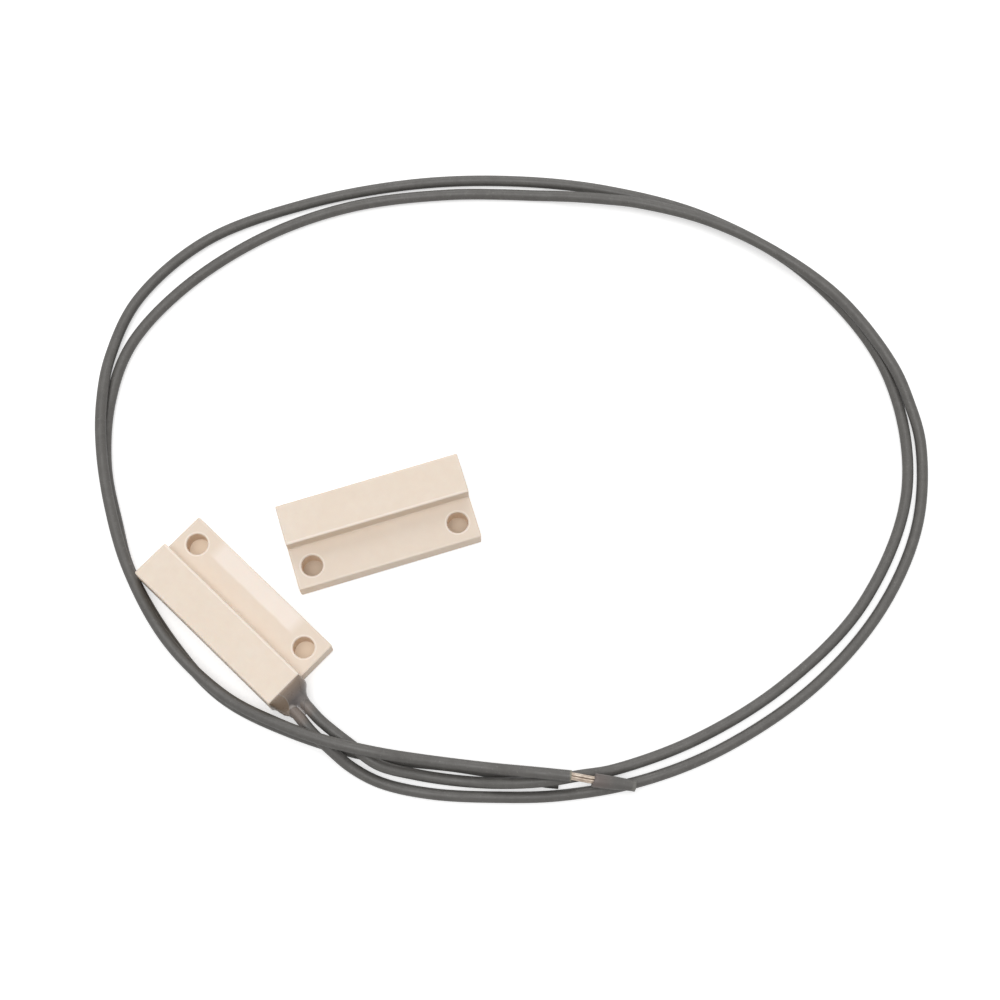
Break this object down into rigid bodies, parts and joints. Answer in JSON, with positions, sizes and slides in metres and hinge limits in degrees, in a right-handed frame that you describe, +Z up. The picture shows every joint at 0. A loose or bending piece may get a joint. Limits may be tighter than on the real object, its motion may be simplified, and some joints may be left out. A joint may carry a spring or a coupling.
{
  "type": "door contact switch",
  "caption": "Surface-mount magnetic door contact: an L-section plastic reed switch half with grey wire leads out of a potted end, and a loose magnet half of the same moulding.",
  "frame": {"origin": "middle of the reed switch half's flat mounting face, on the surface that both halves and the wires lie on", "axes": "+X along the switch half's length towards its wires, +Y from its raised bar to its lower screw flange, +Z up out of the mounting face"},
  "size_m": [0.1333, 0.1251, 0.0071],
  "materials": {
    "cream_abs": "moulded cream plastic with a fine satin surface",
    "potting_compound": "cured brown-grey resin with a soft gloss",
    "reed_glass": "clear green glass",
    "blade_plating": "plated contact metal",
    "nickel_iron": "dull nickel-iron wire",
    "clear_sleeve": "milky insulating sleeve",
    "tinned_brass": "tinned crimp",
    "tinned_copper": "tinned copper strands",
    "grey_pvc": "mid-grey wire insulation with a low sheen",
    "alnico": "ground magnet alloy"
  },
  "bodies": {
    "contact_set": {"switch_housing": "cream_abs", "potting_boot": "potting_compound", "reed_glass": "reed_glass", "reed_lead_near": "nickel_iron", "reed_lead_far": "nickel_iron", "return_sleeve": "clear_sleeve", "crimp_ferrule_a": "tinned_brass", "crimp_ferrule_b": "tinned_brass", "core_end_a": "tinned_copper", "core_end_b": "tinned_copper", "lead_wire_a": "grey_pvc", "lead_wire_b": "grey_pvc", "bare_strands": "tinned_copper", "insulation_slug": "grey_pvc", "magnet_housing": "cream_abs", "bar_magnet": "alnico", "magnet_potting": "potting_compound"},
    "near_blade": {"reed_blade_near": "blade_plating"},
    "far_blade": {"reed_blade_far": "blade_plating"}
  },
  "joints": [
    {"name": "near_blade_bend", "type": "hinge", "parent": "contact_set", "child": "near_blade", "pos_m": [0.00263, -0.0049, 0.00365], "axis": [0, -1, 0], "range_deg": [0, 1.2], "stiffness_Nm_per_rad": 0.0004},
    {"name": "far_blade_bend", "type": "hinge", "parent": "contact_set", "child": "far_blade", "pos_m": [-0.00857, -0.0049, 0.00315], "axis": [0, -1, 0], "range_deg": [0, 1.2], "stiffness_Nm_per_rad": 0.0004}
  ],
  "couplings": [
    {"joint": "far_blade_bend", "follows": "near_blade_bend", "ratio": 1}
  ]
}
